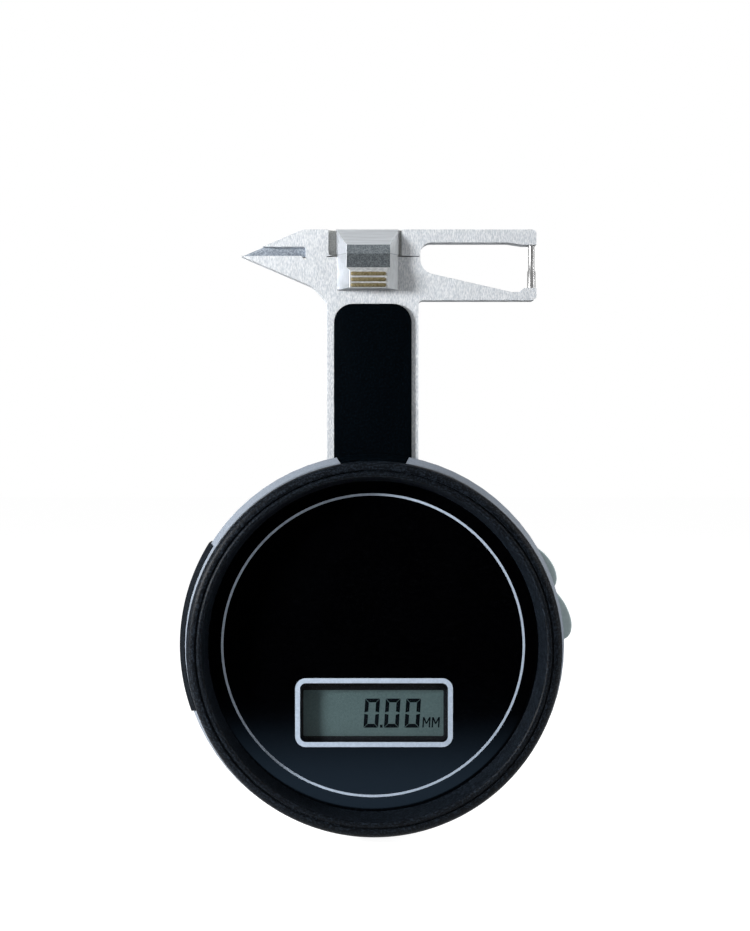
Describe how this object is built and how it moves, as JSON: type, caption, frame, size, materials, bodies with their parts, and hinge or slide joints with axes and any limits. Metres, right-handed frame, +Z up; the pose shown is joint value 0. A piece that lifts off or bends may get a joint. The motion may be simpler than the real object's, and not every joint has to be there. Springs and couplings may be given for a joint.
{
  "type": "digital gemstone gauge",
  "caption": "Hand-held digital gemstone gauge: round body with a display, side buttons and a flat stem that carries a fixed lower jaw and a sprung sliding upper jaw.",
  "frame": {"origin": "centre of the flat back face, on the axis of the round body", "axes": "+Z up the stem towards the jaws, -Y out of the display towards the user, +X to the user's right"},
  "size_m": [0.0741, 0.019, 0.1145],
  "materials": {
    "housing_grey": "satin moulded plastic, silver-grey",
    "bezel_black": "matte, finely speckled",
    "rubber_black": "matte",
    "rubber_grey": "smooth matte",
    "face_gloss": "high gloss",
    "clear_plastic": "clear polished",
    "lcd_glass": "satin display glass",
    "zebra_rubber": "matte",
    "board_green": "lacquered board",
    "chip_black": "matte",
    "steel_brushed": "vertically brushed",
    "steel_bright": "polished",
    "brass": "satin"
  },
  "bodies": {
    "gauge_body": {"rear_housing": "housing_grey", "front_bezel": "bezel_black", "side_grip": "rubber_black", "case_screw_1": "steel_bright", "case_screw_2": "steel_bright", "case_screw_3": "steel_bright", "case_screw_4": "steel_bright", "face_panel": "face_gloss", "display_window": "clear_plastic", "lcd_module": "lcd_glass", "zebra_upper": "zebra_rubber", "zebra_lower": "zebra_rubber", "main_board": "board_green", "processor_chip": "chip_black", "battery_contact_minus": "brass", "battery_contact_plus": "brass", "board_screw_1": "steel_bright", "board_screw_2": "steel_bright", "board_screw_3": "steel_bright", "board_screw_4": "steel_bright", "upper_switch": "chip_black", "lower_switch": "chip_black", "battery_cell": "steel_bright", "lower_jaw": "steel_brushed", "stem_cover": "bezel_black", "stem_back_cover": "steel_brushed", "lower_pin": "steel_bright", "plate_screw_1": "steel_bright", "plate_screw_2": "steel_bright", "cover_screw_1": "steel_bright", "cover_screw_2": "steel_bright", "cover_screw_3": "steel_bright", "cover_screw_4": "steel_bright", "return_spring": "steel_bright", "spring_rod": "steel_bright"},
    "sliding_jaw": {"upper_jaw": "steel_brushed", "slide_bar": "steel_brushed", "scale_strip": "brass", "thumb_block": "steel_bright", "upper_pin": "steel_bright", "jaw_screw_1": "steel_bright", "jaw_screw_2": "steel_bright"},
    "upper_button": {"upper_button": "rubber_grey"},
    "lower_button": {"lower_button": "rubber_grey"},
    "battery_cap": {"battery_cap": "housing_grey"}
  },
  "joints": [
    {"name": "jaw_slide", "type": "slide", "parent": "gauge_body", "child": "sliding_jaw", "axis": [0, 0, 1], "range_m": [0, 0.025], "stiffness_N_per_m": 40, "springref_m": -0.012, "deforming": ["return_spring"]},
    {"name": "upper_button_press", "type": "slide", "parent": "gauge_body", "child": "upper_button", "axis": [-0.9135, 0, -0.4067], "range_m": [0, 0.0008], "stiffness_N_per_m": 2000},
    {"name": "lower_button_press", "type": "slide", "parent": "gauge_body", "child": "lower_button", "axis": [-0.9914, 0, -0.1305], "range_m": [0, 0.0008], "stiffness_N_per_m": 2000},
    {"name": "battery_cap_turn", "type": "hinge", "parent": "gauge_body", "child": "battery_cap", "pos_m": [0, 0, -0.015], "axis": [0, 1, 0], "range_deg": [0, 45]}
  ]
}
